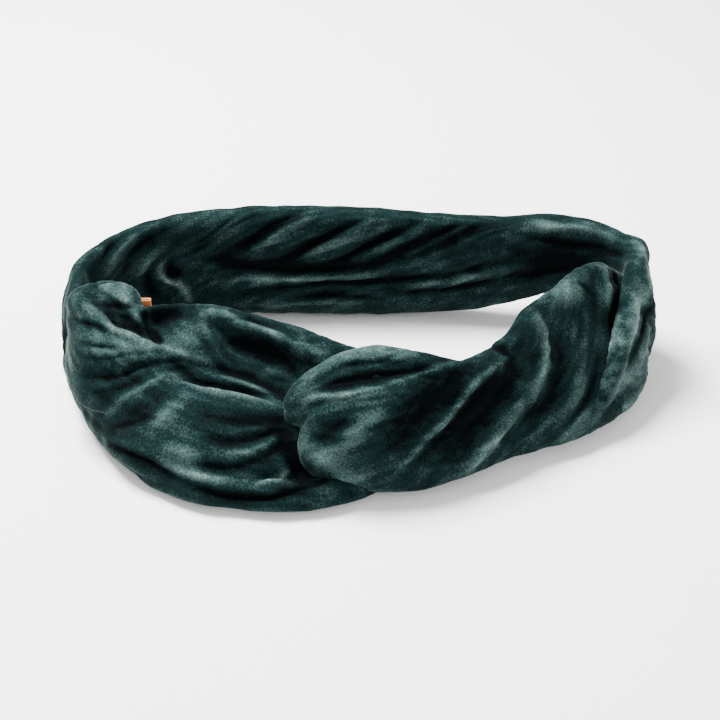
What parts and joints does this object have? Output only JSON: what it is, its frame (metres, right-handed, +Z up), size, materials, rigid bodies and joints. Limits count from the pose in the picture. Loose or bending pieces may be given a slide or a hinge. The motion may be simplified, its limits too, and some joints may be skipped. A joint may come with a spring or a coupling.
{
  "type": "knotted headband",
  "caption": "Wide soft velvet headband with two gathered cloth loops linked in a front knot and a flat elastic inside a cloth tube at the back.",
  "frame": {"origin": "middle of the relaxed band's bounding box, on the plane it stands on", "axes": "+Z up through the head opening; -Y towards the knot, +Y towards the back of the head; +X to the right as seen from the knot's side"},
  "size_m": [0.2192, 0.1268, 0.046],
  "materials": {
    "velvet": "dark green crushed velvet with a short pile",
    "elastic": "white woven elastic",
    "label": "tan soft label, blank",
    "thread": "dark green polyester thread",
    "label_thread": "tan polyester thread"
  },
  "bodies": {
    "root": {"left_loop": "velvet", "left_loop_stitches": "thread", "label_stitches": "label_thread"},
    "right": {"right_loop": "velvet", "right_loop_stitches": "thread"},
    "back": {"back_tube": "velvet", "elastic_band": "elastic", "back_tube_stitches": "thread", "left_mouth_stitches": "thread", "right_mouth_stitches": "thread", "left_elastic_stitches": "thread", "right_elastic_stitches": "thread"},
    "tag": {"label": "label"}
  },
  "joints": [
    {"name": "knot_slip", "type": "slide", "parent": "root", "child": "right", "axis": [1, 0, 0], "range_m": [0, 0.005]},
    {"name": "back_stretch", "type": "slide", "parent": "root", "child": "back", "axis": [0, 1, 0], "range_m": [0, 0.04], "stiffness_N_per_m": 150, "deforming": ["back_tube", "elastic_band", "back_tube_stitches", "left_mouth_stitches", "right_mouth_stitches", "left_elastic_stitches", "right_elastic_stitches"]},
    {"name": "label_flip", "type": "hinge", "parent": "root", "child": "tag", "pos_m": [-0.082, -0.0034, 0.037], "axis": [0, 0, 1], "range_deg": [0, 70]}
  ]
}
